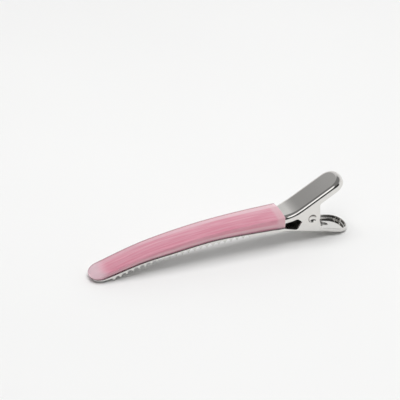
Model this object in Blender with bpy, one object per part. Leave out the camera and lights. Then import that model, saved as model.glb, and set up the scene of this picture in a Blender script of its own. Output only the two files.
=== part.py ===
"""A hair sectioning clip: two pressed steel plates, a torsion spring and a soft sleeve over the upper jaw.

Everything is drawn in the clip's own side view: X runs from the handle end to the tip of the jaw, Z is up and
Y runs across. The finished clip is then set with the middle of its length and width over the origin and its
lowest point on the ground.

Each plate is one sheet with a turned rim. A line gives the height of the sheet's upper face along X, a plan gives
the outline, and at each station round the plan a section of 14 rings goes over the rim, from the upper face to the
lower face. The rim can stand up from the sheet, hang down from it, or pass from one to the other.
"""

import bpy
import bmesh
import numpy as np
from mathutils import Matrix, Vector

MM = 0.001

# Overall sizes
PROFILE_LENGTH = 110.0 * MM
PROFILE_HEIGHT = 27.0 * MM
SHEET = 0.5 * MM
RUNNING_GAP = 0.2 * MM
SLOPE_STEP = 0.01 * MM
WELD_DISTANCE = 0.001 * MM

# Reach of sleeve, jaws and teeth, each set back from what it ends behind
SLEEVE_SETBACK = 0.2 * MM
UPPER_JAW_SETBACK = 4.6 * MM
LOWER_JAW_SETBACK = 0.8 * MM
TEETH_SETBACK = 7.8 * MM

SLEEVE_TIP = PROFILE_LENGTH - SLEEVE_SETBACK
UPPER_JAW_TIP = SLEEVE_TIP - UPPER_JAW_SETBACK
LOWER_JAW_TIP = SLEEVE_TIP - LOWER_JAW_SETBACK
TEETH_END = LOWER_JAW_TIP - TEETH_SETBACK

# Pivot
PIVOT_X = 17.3 * MM
PIVOT_Z = 10.95 * MM
HOLE_RADIUS = 1.75 * MM
BOSS_RADIUS = 1.45 * MM
BOSS_REACH = 2.2 * MM
DIMPLE_RADIUS = 1.8 * MM
DIMPLE_DEPTH = 0.95 * MM

PIVOT = np.array([PIVOT_X, PIVOT_Z])

# Upper plate: thumb handle, outer ears and upper jaw
UPPER_HALF_WIDTH = 6.2 * MM
HANDLE_START = 3.8 * MM
HANDLE_TILT = np.radians(29.3)
HANDLE_STANDOFF = 6.6 * MM
HANDLE_STRAIGHT_END = 20.0 * MM
HANDLE_ROUND = 5.3 * MM
HANDLE_FLANGE = 3.1 * MM
HANDLE_BEND = 1.9 * MM
WINDOW_FLANGE = 2.7 * MM
UPPER_EAR_REAR = 14.1 * MM
UPPER_EAR_FRONT = 23.2 * MM
UPPER_LOBE_RADIUS = 3.5 * MM
UPPER_JAW_BEND = 1.9 * MM
UPPER_JAW_ROUND = 3.5 * MM
FLANGE_ABOVE_SLEEVE_FLOOR = 0.25 * MM
FLANGE_TURN_START = 28.5 * MM
FLANGE_TURN_END = 33.5 * MM
SHOULDER_START = 24.0 * MM
SHOULDER_END = 30.0 * MM

# Lower plate: finger pan, inner ears and toothed lower jaw
PAN_START = 0.3 * MM
PAN_SIDE_STEP = 0.25 * MM
PAN_NARROWED = 11.0 * MM
PAN_NARROWING_START = 6.5 * MM
PAN_TILT = np.radians(13.4)
PAN_ROUND = 5.6 * MM
PAN_WALL = 1.95 * MM
PAN_BEND = 0.95 * MM
LOWER_EAR_REAR = 12.9 * MM
LOWER_EAR_FRONT = 23.4 * MM
LOWER_LOBE_RADIUS = 3.0 * MM
SIDE_WALL = 1.2 * MM
EAR_FILLET = 0.9 * MM
WALL_TURN_START = 28.0 * MM
WALL_TURN_END = 33.0 * MM
FLOOR_TURN_START = 25.0 * MM
FLOOR_TURN_END = 34.0 * MM
LOWER_JAW_INSET = 0.9 * MM
LOWER_TIP_INSET = 0.35 * MM
LOWER_JAW_BEND = 0.4 * MM
LOWER_JAW_ROUND = 4.4 * MM
TEETH_START = 44.0 * MM
TOOTH_PITCH = 2.65 * MM
TOOTH_HEIGHT = 1.5 * MM
SLOT_START = 7.4 * MM
SLOT_LENGTH = 8.6 * MM
SLOT_WIDTH = 2.2 * MM
SLOT_SIDE = -0.7 * MM
CUT_OVERRUN = 1.0 * MM

# Soft sleeve over the upper jaw
SLEEVE_START = 29.0 * MM
SLEEVE_WALL = 0.5 * MM
SLEEVE_FIT = 0.25 * MM
SLEEVE_LIFT = 0.3 * MM
SLEEVE_SIDE_STEP = 0.08 * MM
SLEEVE_TIP_STEP = 1.19 * MM
SLEEVE_ROOF_TILT = np.radians(9)
SLEEVE_ROOF_LEVEL_SHARE = 0.32
SLEEVE_TOP_RADIUS = 0.7 * MM
SLEEVE_FOOT_RADIUS = 0.6 * MM
SLEEVE_TIP_ROUND = 4.9 * MM
SLEEVE_TIP_EDGE = 1.5 * MM

# Half widths, each a step inside the upper plate
SLEEVE_HALF_WIDTH = UPPER_HALF_WIDTH - SLEEVE_SIDE_STEP
SLEEVE_TIP_HALF_WIDTH = UPPER_HALF_WIDTH - SLEEVE_TIP_STEP
PAN_HALF_WIDTH = UPPER_HALF_WIDTH - PAN_SIDE_STEP

# Torsion spring
WIRE = 0.95 * MM
COIL_RADIUS = 2.48 * MM
COIL_HALF_SPAN = 3.75 * MM
WIRE_REST = 0.3 * MM
LOWER_LEG_END = 9.8 * MM
UPPER_LEG_END = 9.0 * MM
UPPER_LEG_SIDE = 3.0 * MM
LEG_STRAIGHT_SHARE = 0.3
WHOLE_TURNS = 5
CURL_POINTS = 10
LEG_POINTS = 9

# Height lines as shares of the overall length and of the profile height
SLEEVE_TOP_SHARES = (
    (0.264, 0.526),
    (0.409, 0.523),
    (0.545, 0.499),
    (0.682, 0.440),
    (0.818, 0.342),
    (0.936, 0.209),
    (1.000, 0.135),
)
SLEEVE_FOOT_SHARES = (
    (0.264, 0.330),
    (0.409, 0.357),
    (0.545, 0.364),
    (0.682, 0.307),
    (0.818, 0.237),
    (0.936, 0.126),
    (1.000, 0.078),
)
TOOTH_LINE_SHARES = (
    (0.218, 0.211),
    (0.291, 0.261),
    (0.455, 0.279),
    (0.564, 0.259),
    (0.682, 0.224),
    (0.818, 0.148),
    (0.873, 0.093),
    (0.927, 0.028),
    (1.000, 0.009),
)

# Shape of curves
END_EXPONENT = 2.24
TOOTH_POWER = 3.5
ROUND_STATIONS = 8
EAR_STATIONS = 20
HANDLE_STATIONS = 4
PAN_STATIONS = 5
SHORT_STATIONS = 4
STRIP_STATIONS = 11
JAW_STATIONS = 12
STATIONS_PER_TOOTH = 4
ARC_ANGLES = np.radians((0, 45, 90))
CORNER_ANGLES = np.radians((0, 30, 60, 90))
LOBE_POINTS = 11
FILLET_POINTS = 5
SLEEVE_STATIONS = 14
TIP_ANGLES = np.radians((0, 16, 32, 47, 61, 74, 85))
ROUND_SIDES = 24
SPHERE_RINGS = 12
SHARP_ANGLE = np.radians(40)
SEAT_ROUNDS = 4


def slope_of(line, at):
    """Rise per length of a height line, from two points close together."""
    return (line(at + SLOPE_STEP) - line(at - SLOPE_STEP)) / (2 * SLOPE_STEP)


def smooth_line(shares):
    """A natural cubic spline through knots given as shares of the overall length and the profile height."""
    x, z = (np.array(shares) * (PROFILE_LENGTH, PROFILE_HEIGHT)).T
    step = np.diff(x)
    change = np.diff(np.diff(z) / step)
    system = np.eye(len(x))
    right = np.zeros(len(x))
    for i in range(1, len(x) - 1):
        system[i, i - 1 : i + 2] = step[i - 1], 2 * (step[i - 1] + step[i]), step[i]
        right[i] = 6 * change[i - 1]
    curvature = np.linalg.solve(system, right)

    def line(at):
        k = np.clip(np.searchsorted(x, at) - 1, 0, len(step) - 1)
        a = (x[k + 1] - at) / step[k]
        b = 1 - a
        bow = ((a**3 - a) * curvature[k] + (b**3 - b) * curvature[k + 1]) * step[k] ** 2 / 6
        return a * z[k] + b * z[k + 1] + bow

    return line


def joined_line(before, after, start, end):
    """The first line up to start, the second from end on, and one cubic with matching slopes between them."""
    span = end - start
    first, last = before(start), after(end)
    leaving = slope_of(before, start) * span
    arriving = slope_of(after, end) * span

    def line(at):
        u = np.clip((at - start) / span, 0, 1)
        rise = (u**2 * (3 - 2 * u)) * (last - first)
        bend = (u * (1 - u) ** 2) * leaving - (u**2 * (1 - u)) * arriving
        return np.where(at < start, before(at), np.where(at > end, after(at), first + rise + bend))

    return line


def level(value):
    """A line that keeps one value."""
    return lambda at: value + 0 * np.asarray(at, float)


def ease(at, start, end):
    """A smooth change from 0 at start to 1 at end."""
    u = np.clip((at - start) / (end - start), 0, 1)
    return u * u * (3 - 2 * u)


def handle_line(at):
    """Upper face of the thumb handle: a straight line at its standoff from the pivot."""
    return PIVOT_Z + HANDLE_STANDOFF / np.cos(HANDLE_TILT) - (at - PIVOT_X) * np.tan(HANDLE_TILT)


def pan_line(at):
    """Upper face of the pan's floor: a straight line that rises from the ground at the handle end."""
    return at * np.tan(PAN_TILT) + SHEET / np.cos(PAN_TILT)


def sleeve_half_width(at):
    """The sleeve tapers evenly from its hinge end to its tip."""
    share = (at - SLEEVE_START) / (SLEEVE_TIP - SLEEVE_START)
    return SLEEVE_HALF_WIDTH + (SLEEVE_TIP_HALF_WIDTH - SLEEVE_HALF_WIDTH) * share


def lower_jaw_half_width(at):
    """The lower jaw keeps inside the sleeve's sides, by less towards the tip."""
    share = (at - SLEEVE_START) / (SLEEVE_TIP - SLEEVE_START)
    return sleeve_half_width(at) - LOWER_JAW_INSET + (LOWER_JAW_INSET - LOWER_TIP_INSET) * share


sleeve_top = smooth_line(SLEEVE_TOP_SHARES)
sleeve_foot = smooth_line(SLEEVE_FOOT_SHARES)
tooth_line = smooth_line(TOOTH_LINE_SHARES)
upper_line = joined_line(
    handle_line,
    lambda at: sleeve_top(at) - SLEEVE_WALL - SLEEVE_FIT,
    HANDLE_STRAIGHT_END,
    SHOULDER_END,
)
lower_line = joined_line(
    pan_line, lambda at: sleeve_foot(at) - SLEEVE_LIFT, FLOOR_TURN_START, FLOOR_TURN_END
)
keel_line = joined_line(
    lambda at: pan_line(at) - SHEET / np.cos(PAN_TILT), tooth_line, FLOOR_TURN_START, WALL_TURN_END
)
upper_half_width = joined_line(
    level(UPPER_HALF_WIDTH),
    lambda at: sleeve_half_width(at) - SLEEVE_WALL - SLEEVE_FIT,
    SHOULDER_START,
    SHOULDER_END,
)
ear_half_width = UPPER_HALF_WIDTH - SHEET - RUNNING_GAP
lower_half_width = joined_line(
    joined_line(level(PAN_HALF_WIDTH), level(ear_half_width), PAN_NARROWING_START, PAN_NARROWED),
    lower_jaw_half_width,
    SHOULDER_START,
    SHOULDER_END,
)


def rounded_end(tip, length, half_width, forward):
    """Plan points of a quarter of the rounded end, from its tip to its side, with their outward directions."""
    turn = np.linspace(0, np.pi / 2, ROUND_STATIONS + 1)
    along, across = np.cos(turn), np.sin(turn)
    x = tip - forward * length * (1 - along ** (2 / END_EXPONENT))
    y = half_width(x) * across ** (2 / END_EXPONENT)
    out_x = forward * along ** (2 - 2 / END_EXPONENT) / length
    out_y = across ** (2 - 2 / END_EXPONENT) / half_width(x)
    size = np.hypot(out_x, out_y)
    return np.array([x, y, out_x / size, out_y / size])


def plan_stations(start, end, start_round, end_round, half_width, between):
    """Stations of one side of a plate, from the middle of its start to the middle of its end."""
    x = np.asarray(between, float)
    lean = -slope_of(half_width, x)
    size = np.hypot(lean, 1)
    side = np.array([x, half_width(x), lean / size, 1 / size])
    first = rounded_end(start, start_round, half_width, -1)
    last = rounded_end(end, end_round, half_width, 1)[:, ::-1]
    return np.concatenate([first, side, last], axis=1)


def rim_section(bend, up, down, turned_up):
    """Inward distance and drop of the 14 rings that go over the rim.

    turned_up is 1 where the rim stands up from the sheet, and 0 where it hangs down. A ring that has no use at a
    station falls on its neighbour, and the weld joins them.
    """
    hanging = 1 - turned_up
    brow = np.minimum(bend, up + down) * hanging
    foot = np.minimum(bend, up + down) * turned_up
    upper_wall = SHEET * turned_up + brow
    lower_wall = SHEET * hanging + foot
    inner_bend = (bend - SHEET).clip(0)
    upper_fillet = np.minimum(inner_bend * turned_up, up)
    lower_fillet = np.minimum(inner_bend * hanging, down - SHEET)
    near, far = 1 - np.sin(ARC_ANGLES), 1 - np.cos(ARC_ANGLES)
    rings = [(upper_wall + upper_fillet * n, -upper_fillet * f) for n, f in zip(near, far)]
    rings += [(upper_wall, -up)]
    rings += [(brow * n, brow * f - up) for n, f in zip(near, far)]
    rings += [(foot * f, down - foot * n) for n, f in zip(near, far)]
    rings += [(lower_wall, down)]
    rings += [(lower_wall + lower_fillet * f, SHEET + lower_fillet * n) for n, f in zip(near, far)]
    return np.array(rings)


# The rings that make the rim's free edge, where it stands up and where it hangs down
STANDING_EDGE = slice(3, 7)
HANGING_EDGE = slice(7, 11)


def sheet_points(line, plan, section):
    """Points of every ring and station: in from the outline, then square to the sheet."""
    x, y, out_x, out_y = plan
    inward, drop = section[:, 0], section[:, 1]
    tilt = np.arctan(slope_of(line, x))
    x = x - inward * out_x * np.cos(tilt)
    y = y - inward * out_y
    tilt = np.arctan(slope_of(line, x))
    return np.stack([x + drop * np.sin(tilt), y, line(x) - drop * np.cos(tilt)], axis=-1)


def tangent_point(radius, outside, turn):
    """Where a line from an outside point touches a circle round the pivot, on the side that turn says."""
    away = outside - PIVOT
    angle = np.arctan2(away[1], away[0]) + turn * np.arccos(radius / np.hypot(*away))
    return PIVOT + radius * np.array([np.cos(angle), np.sin(angle)])


def lobe_arc(radius, start, end, turn):
    """Points of a circle round the pivot, from start to end, clockwise where turn is 1."""
    first, last = (np.arctan2(*(point - PIVOT)[::-1]) for point in (start, end))
    angles = first - turn * np.linspace(0, (turn * (first - last)) % (2 * np.pi), LOBE_POINTS)
    return PIVOT + radius * np.stack([np.cos(angles), np.sin(angles)], axis=-1)


def filleted(before, corner, after):
    """A corner turned into a short curve that starts and ends at the same reach from it."""
    start = corner + (before - corner) * min(EAR_FILLET / np.hypot(*(before - corner)), 1)
    end = corner + (after - corner) * min(EAR_FILLET / np.hypot(*(after - corner)), 1)
    u = np.linspace(0, 1, FILLET_POINTS)[:, None]
    return (1 - u) ** 2 * start + 2 * u * (1 - u) * corner + u**2 * end


def ear_outline(start, rear, radius, front, end, turn):
    """Evenly spaced points round an ear: rear edge, lobe round the pivot, front edge.

    turn is 1 for an ear that stands up, with its lobe on top, and -1 for one that hangs down.
    """
    first = tangent_point(radius, rear, -turn)
    last = tangent_point(radius, front, turn)
    lobe = lobe_arc(radius, first, last, turn)
    parts = [[start], filleted(start, rear, first), lobe, filleted(last, front, end), [end]]
    run = np.concatenate(parts)
    gone = np.concatenate([[0], np.cumsum(np.hypot(*np.diff(run, axis=0).T))])
    at = np.linspace(0, gone[-1], EAR_STATIONS + 1)
    return np.stack([np.interp(at, gone, run[:, 0]), np.interp(at, gone, run[:, 1])], axis=-1)


def shape_ear(points, first, edge, rear, radius, front, turn):
    """Moves the free edge of the ear's stations onto the ear's outline. The wall between stays flat."""
    ear = slice(first, first + EAR_STATIONS + 1)
    free = points[edge.start, ear][:, [0, 2]]
    outline = ear_outline(free[0], rear, radius, front, free[-1], turn)
    points[edge, ear, 0] = outline[:, 0]
    points[edge, ear, 2] = outline[:, 1]


def plate_mesh(name, points):
    """A closed mesh from the rings of one side, mirrored across the middle, with both faces of the sheet filled."""
    side = points.shape[1]
    loop = np.concatenate([points, points[:, -2:0:-1] * (1, -1, 1)], axis=1)
    count = loop.shape[1]
    work = bmesh.new()
    rings = [[work.verts.new(point) for point in ring] for ring in loop]
    for ring, other in zip(rings, rings[1:]):
        for i, j in zip(range(count), [*range(1, count), 0]):
            work.faces.new((ring[i], ring[j], other[j], other[i]))
    for ring in (rings[0], rings[-1]):
        work.faces.new((ring[0], ring[1], ring[-1]))
        work.faces.new((ring[side - 2], ring[side - 1], ring[side]))
        for i in range(1, side - 2):
            work.faces.new((ring[i], ring[i + 1], ring[-i - 1], ring[-i]))
    return finished_mesh(name, work)


def finished_mesh(name, work):
    """Joins points that fall together, turns every face outward and returns the mesh."""
    bmesh.ops.remove_doubles(work, verts=work.verts, dist=WELD_DISTANCE)
    bmesh.ops.recalc_face_normals(work, faces=work.faces)
    mesh = bpy.data.meshes.new(name)
    work.to_mesh(mesh)
    work.free()
    return mesh


def spread(*stops):
    """Stations between stops: each stop after the first brings the number of steps that lead to it."""
    places = [stops[0]]
    for count, stop in zip(stops[1::2], stops[2::2]):
        places += list(np.linspace(places[-1], stop, count + 1)[1:])
    return np.array(places)


def upper_plate_mesh():
    """Thumb handle with a flange that hangs square to it, ears that reach down round the pivot, and the jaw."""
    lean = np.sin(HANDLE_TILT)
    ear_start = UPPER_EAR_REAR - EAR_FILLET + HANDLE_FLANGE * lean
    ear_end = UPPER_EAR_FRONT + EAR_FILLET + WINDOW_FLANGE * lean
    between = spread(
        HANDLE_START + HANDLE_ROUND,
        HANDLE_STATIONS,
        ear_start,
        EAR_STATIONS,
        ear_end,
        SHORT_STATIONS,
        SHOULDER_END,
        JAW_STATIONS,
        UPPER_JAW_TIP - UPPER_JAW_ROUND,
    )[1:-1]
    ends = (HANDLE_START, UPPER_JAW_TIP, HANDLE_ROUND, UPPER_JAW_ROUND)
    plan = plan_stations(*ends, upper_half_width, between)
    x = plan[0]
    in_jaw = ease(x, ear_end, SHOULDER_END)
    bend = HANDLE_BEND + (UPPER_JAW_BEND - HANDLE_BEND) * in_jaw
    open_depth = HANDLE_FLANGE + (WINDOW_FLANGE - HANDLE_FLANGE) * ease(x, ear_start, ear_end)
    jaw_depth = upper_line(x) - sleeve_foot(x) - SLEEVE_WALL - FLANGE_ABOVE_SLEEVE_FLOOR
    in_sleeve = ease(x, FLANGE_TURN_START, FLANGE_TURN_END)
    depth = (open_depth + (jaw_depth - open_depth) * in_sleeve).clip(SHEET)
    nothing = 0 * x
    points = sheet_points(upper_line, plan, rim_section(bend, nothing, depth, nothing))
    first = ROUND_STATIONS + HANDLE_STATIONS
    corner = points[HANGING_EDGE.start, first][[0, 2]]
    rear = corner + EAR_FILLET * np.array([1, -np.tan(HANDLE_TILT)])
    front = points[HANGING_EDGE.start, first + EAR_STATIONS][[0, 2]]
    front = front - EAR_FILLET * np.array([1, slope_of(upper_line, ear_end)])
    shape_ear(points, first, HANGING_EDGE, rear, UPPER_LOBE_RADIUS, front, -1)
    return plate_mesh("upper_plate", points)


def tooth_cut(x, pitch):
    """How far the rim is cut back: nothing before the first tooth point, the full height after the last."""
    scallop = TOOTH_HEIGHT * (1 - abs(np.cos(np.pi * (x - TEETH_START) / pitch)) ** TOOTH_POWER)
    past = x > TEETH_END + SLOPE_STEP
    return np.where(x < TEETH_START, 0, np.where(past, TOOTH_HEIGHT, scallop))


def lower_plate_mesh():
    """Finger pan with a standing rim, ears that stand up round the pivot, and a jaw whose hanging rim has teeth."""
    lean = np.sin(PAN_TILT)
    ear_start = LOWER_EAR_REAR - EAR_FILLET + (PAN_WALL - SHEET) * lean
    ear_end = LOWER_EAR_FRONT + EAR_FILLET + (SIDE_WALL - SHEET) * lean
    teeth = round((TEETH_END - TEETH_START) / TOOTH_PITCH)
    pitch = (TEETH_END - TEETH_START) / teeth
    between = spread(
        PAN_START + PAN_ROUND,
        PAN_STATIONS,
        ear_start,
        EAR_STATIONS,
        ear_end,
        STRIP_STATIONS,
        TEETH_START,
        teeth * STATIONS_PER_TOOTH,
        TEETH_END,
        1,
        TEETH_END + pitch / STATIONS_PER_TOOTH,
        1,
        LOWER_JAW_TIP - LOWER_JAW_ROUND,
    )[1:-1]
    plan = plan_stations(PAN_START, LOWER_JAW_TIP, PAN_ROUND, LOWER_JAW_ROUND, lower_half_width, between)
    x = plan[0]
    hanging = ease(x, WALL_TURN_START, WALL_TURN_END)
    bend = PAN_BEND + (LOWER_JAW_BEND - PAN_BEND) * ease(x, ear_end, WALL_TURN_END)
    wall = PAN_WALL + (SIDE_WALL - PAN_WALL) * ease(x, ear_start, ear_end)
    up = (wall - SHEET) * (1 - hanging)
    depth = (lower_line(x) - keel_line(x)) * np.cos(np.arctan(slope_of(lower_line, x)))
    down = (depth - tooth_cut(x, pitch)).clip(SHEET)
    points = sheet_points(lower_line, plan, rim_section(bend, up, down, 1 - hanging))
    first = ROUND_STATIONS + PAN_STATIONS
    along = EAR_FILLET * np.array([1, np.tan(PAN_TILT)])
    rear = points[STANDING_EDGE.start, first][[0, 2]] + along
    front = points[STANDING_EDGE.start, first + EAR_STATIONS][[0, 2]] - along
    shape_ear(points, first, STANDING_EDGE, rear, LOWER_LOBE_RADIUS, front, 1)
    return plate_mesh("lower_plate", points)


def sleeve_section(x, inset, tip, tip_round, tip_edge, roof_tilt):
    """Half of the sleeve's section at x, from the middle of its underside to the middle of its top.

    The roof rises from each top corner at its tilt up to a level stretch, and flattens out over the round tip.
    """
    past = np.clip((x - tip + tip_round) / tip_round, 0, 1)
    flat = np.clip((x - tip + tip_edge) / tip_edge, 0, 1)
    half = (sleeve_half_width(x) - inset) * (1 - past**END_EXPONENT) ** (1 / END_EXPONENT)
    low, high = float(sleeve_foot(x)) + inset, float(sleeve_top(x)) - inset
    middle = (low + high) / 2
    tall = (high - low) / 2 * np.sqrt(1 - flat**2)
    top = min(SLEEVE_TOP_RADIUS - inset, half, tall)
    foot = min(SLEEVE_FOOT_RADIUS - inset, half, tall)
    points = [(0, middle - tall)]
    points += [(half - foot * (1 - np.sin(a)), middle - tall + foot * (1 - np.cos(a))) for a in CORNER_ANGLES]
    points += [(half - top * (1 - np.cos(a)), middle + tall - top * (1 - np.sin(a))) for a in CORNER_ANGLES]
    roof = half - top
    rise = roof * (1 - SLEEVE_ROOF_LEVEL_SHARE) * np.tan(roof_tilt) * (1 - past)
    points += [(roof * SLEEVE_ROOF_LEVEL_SHARE, middle + tall + rise), (0, middle + tall + rise)]
    return np.array([(x, y, z) for y, z in points])


def sleeve_mesh():
    """A soft tube with a closed round tip: an outer skin, an inner skin one wall in, and a flat rim between them."""
    work = bmesh.new()
    tip = SLEEVE_TIP
    inner_tip = UPPER_JAW_TIP + SLEEVE_FIT
    inner_round = UPPER_JAW_ROUND + SLEEVE_FIT
    skins = (
        (0, tip, SLEEVE_TIP_ROUND, SLEEVE_TIP_EDGE, SLEEVE_ROOF_TILT),
        (SLEEVE_WALL, inner_tip, inner_round, SLEEVE_WALL, 0),
    )
    rims = []
    for inset, end, end_round, end_edge, roof_tilt in skins:
        straight = np.linspace(SLEEVE_START, end - end_round, SLEEVE_STATIONS)[:-1]
        rings = []
        for x in [*straight, *(end - end_round * (1 - np.sin(TIP_ANGLES)))]:
            half = sleeve_section(x, inset, end, end_round, end_edge, roof_tilt)
            whole = np.concatenate([half, half[-2:0:-1] * (1, -1, 1)])
            rings.append([work.verts.new(point) for point in whole])
        bridge_rings(work, rings)
        work.faces.new(rings[-1])
        rims.append(rings[0])
    bridge_rings(work, rims)
    return finished_mesh("jaw_sleeve", work)


def bridge_rings(work, rings):
    """Faces between each ring of points and the next."""
    count = len(rings[0])
    for ring, other in zip(rings, rings[1:]):
        for i, j in zip(range(count), [*range(1, count), 0]):
            work.faces.new((ring[i], ring[j], other[j], other[i]))


def leg_points(tangent_angle, side, end, end_side):
    """A leg from its end to the coil: straight at the coil, then eased across to its resting place."""
    touch = PIVOT + COIL_RADIUS * np.array([np.cos(tangent_angle), np.sin(tangent_angle)])
    share = np.linspace(1, 0, LEG_POINTS + 1)[:-1]
    across = side + (end_side - side) * ease(share, LEG_STRAIGHT_SHARE, 1)
    flat = touch + (end - touch) * share[:, None]
    return np.stack([flat[:, 0], across, flat[:, 1]], axis=-1)


def spring_points():
    """Centre line of the spring: lower leg, helix round the pivot, upper leg."""
    lower_end = np.array([LOWER_LEG_END, float(pan_line(LOWER_LEG_END)) + WIRE / 2])
    reach = SHEET + WIRE_REST + WIRE / 2
    under = np.array([-np.sin(HANDLE_TILT), -np.cos(HANDLE_TILT)]) * reach
    upper_end = np.array([UPPER_LEG_END, float(handle_line(UPPER_LEG_END))]) + under
    lower_touch = tangent_point(COIL_RADIUS, lower_end, 1) - PIVOT
    upper_touch = tangent_point(COIL_RADIUS, upper_end, -1) - PIVOT
    first = np.arctan2(lower_touch[1], lower_touch[0])
    last = np.arctan2(upper_touch[1], upper_touch[0]) + 2 * np.pi * WHOLE_TURNS
    curls = round((last - first) / (2 * np.pi) * CURL_POINTS)
    share = np.linspace(0, 1, curls + 1)
    angle = first + (last - first) * share
    coil = np.stack(
        [
            PIVOT_X + COIL_RADIUS * np.cos(angle),
            COIL_HALF_SPAN * (2 * share - 1),
            PIVOT_Z + COIL_RADIUS * np.sin(angle),
        ],
        axis=-1,
    )
    lower_leg = leg_points(first, -COIL_HALF_SPAN, lower_end, SLOT_SIDE)
    upper_leg = leg_points(last, COIL_HALF_SPAN, upper_end, UPPER_LEG_SIDE)
    return np.concatenate([lower_leg, coil, upper_leg[::-1]])


def print_least_gap(points):
    """Prints the least gap between stretches of the wire that lie over half a turn apart along it."""
    count = len(points)
    apart = np.linalg.norm(points[:, None] - points[None], axis=-1)
    along = abs(np.subtract.outer(np.arange(count), np.arange(count)))
    gap = apart[along > CURL_POINTS // 2].min() - WIRE
    print(f"spring: {count} points, least gap to itself {gap / MM:.2f} mm")


def spring_curve():
    """One round wire along the spring's centre line, with closed ends."""
    points = spring_points()
    print_least_gap(points)
    curve = bpy.data.curves.new("torsion_spring", "CURVE")
    curve.dimensions = "3D"
    curve.bevel_depth = WIRE / 2
    curve.bevel_resolution = 1
    curve.use_fill_caps = True
    path = curve.splines.new("POLY")
    path.points.add(len(points) - 1)
    for place, point in zip(path.points, points):
        place.co = (*point, 1)
    return curve


def moved(data, offset):
    """Shifts a mesh or a curve by an offset."""
    data.transform(Matrix.Translation(offset))
    return data


def pivot_rod(name, radius, middle, half):
    """Two rods across the clip on the pivot line, one a side, or one where the middle is zero."""
    work = bmesh.new()
    for side in (1, -1) if middle else (1,):
        place = Matrix.Translation((PIVOT_X, side * middle, PIVOT_Z)) @ Matrix.Rotation(np.pi / 2, 4, "X")
        bmesh.ops.create_cone(
            work, cap_ends=True, segments=ROUND_SIDES, radius1=radius, radius2=radius, depth=2 * half, matrix=place
        )
    return finished_mesh(name, work)


def dimple_balls():
    """Two balls that press the dimples into the outside of the outer ears."""
    radius = (DIMPLE_RADIUS**2 + DIMPLE_DEPTH**2) / (2 * DIMPLE_DEPTH)
    work = bmesh.new()
    for side in (1, -1):
        place = Vector((PIVOT_X, side * (UPPER_HALF_WIDTH + radius - DIMPLE_DEPTH), PIVOT_Z))
        turn = Matrix.Translation(place) @ Matrix.Rotation(np.pi / 2, 4, "X")
        bmesh.ops.create_uvsphere(
            work, u_segments=ROUND_SIDES, v_segments=SPHERE_RINGS, radius=radius, matrix=turn
        )
    return finished_mesh("dimple_balls", work)


def slot_prism():
    """A tall prism with round ends that cuts the slot in the pan's floor."""
    radius = SLOT_WIDTH / 2
    low = -CUT_OVERRUN
    high = float(pan_line(SLOT_START + SLOT_LENGTH)) + CUT_OVERRUN
    work = bmesh.new()
    outline = []
    for middle, start in ((SLOT_START + SLOT_LENGTH - radius, -np.pi / 2), (SLOT_START + radius, np.pi / 2)):
        for angle in start + np.linspace(0, np.pi, ROUND_SIDES // 2 + 1):
            outline.append((middle + radius * np.cos(angle), SLOT_SIDE + radius * np.sin(angle)))
    lower, upper = ([work.verts.new((x, y, z)) for x, y in outline] for z in (low, high))
    bridge_rings(work, [lower, upper])
    work.faces.new(lower)
    work.faces.new(upper)
    return finished_mesh("slot_prism", work)


def material(name, colour, metallic, roughness, transmission=0.0):
    """A Principled material with the photographed colour."""
    made = bpy.data.materials.new(name)
    made.use_nodes = True
    made.diffuse_color = (*colour, 1)
    shader = made.node_tree.nodes["Principled BSDF"]
    shader.inputs["Base Color"].default_value = (*colour, 1)
    shader.inputs["Metallic"].default_value = metallic
    shader.inputs["Roughness"].default_value = roughness
    shader.inputs["Transmission Weight"].default_value = transmission
    return made


def add_piece(name, data, parent, skin):
    """An object whose data is drawn in the side view's own place, hung on its parent with its origin there."""
    piece = bpy.data.objects.new(name, moved(data, -Vector(parent.get("place", (0, 0, 0)))))
    piece.parent = parent
    bpy.context.scene.collection.objects.link(piece)
    if skin:
        data.materials.append(skin)
    return piece


def add_cutter(name, data, parent):
    """A helper that a Boolean uses and a render leaves out."""
    cutter = add_piece(name, data, parent, None)
    cutter.hide_render = True
    cutter.display_type = "WIRE"
    return cutter


def add_boolean(piece, cutter, operation):
    """A Boolean with the exact solver."""
    step = piece.modifiers.new(cutter.name, "BOOLEAN")
    step.operation = operation
    step.solver = "EXACT"
    step.object = cutter


def add_empty(name, place, parent):
    """A frame that pieces hang on. It keeps its place in the side view as a property."""
    empty = bpy.data.objects.new(name, None)
    empty.empty_display_size = WIRE
    empty["place"] = place
    empty.parent = parent
    empty.location = Vector(place) - Vector(parent["place"]) if parent else Vector(place)
    bpy.context.scene.collection.objects.link(empty)
    return empty


def seat_on_ground(base, mesh):
    """Turns and lowers the clip until the pan's end and the last teeth both touch the ground.

    The turn is found in a few rounds, because each turn can move the lowest point of either end a little.
    """
    points = np.array([vertex.co for vertex in mesh.vertices])
    middle = PROFILE_LENGTH / 2
    turn = 0.0
    for _ in range(SEAT_ROUNDS):
        height = points[:, 2] * np.cos(turn) - points[:, 0] * np.sin(turn)
        ends = [np.where(side, height, np.inf).argmin() for side in (points[:, 0] < middle, points[:, 0] > middle)]
        rear, front = points[ends[0]], points[ends[1]]
        turn = np.arctan2(front[2] - rear[2], front[0] - rear[0])
    height = points[:, 2] * np.cos(turn) - points[:, 0] * np.sin(turn)
    along = points[:, 0] * np.cos(turn) + points[:, 2] * np.sin(turn)
    tip = SLEEVE_TIP * np.cos(turn) + float(sleeve_top(SLEEVE_TIP)) * np.sin(turn)
    base.rotation_euler = (0, turn, 0)
    base.location = (-(along.min() + tip) / 2, 0, -height.min())
    print(f"seat: turned {np.degrees(turn):.3f} degrees, lowered {height.min() / MM:.3f} mm")


def shade_smooth(mesh):
    """Smooth shading with the folds kept sharp."""
    mesh.shade_smooth()
    mesh.set_sharp_from_angle(angle=SHARP_ANGLE)


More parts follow.
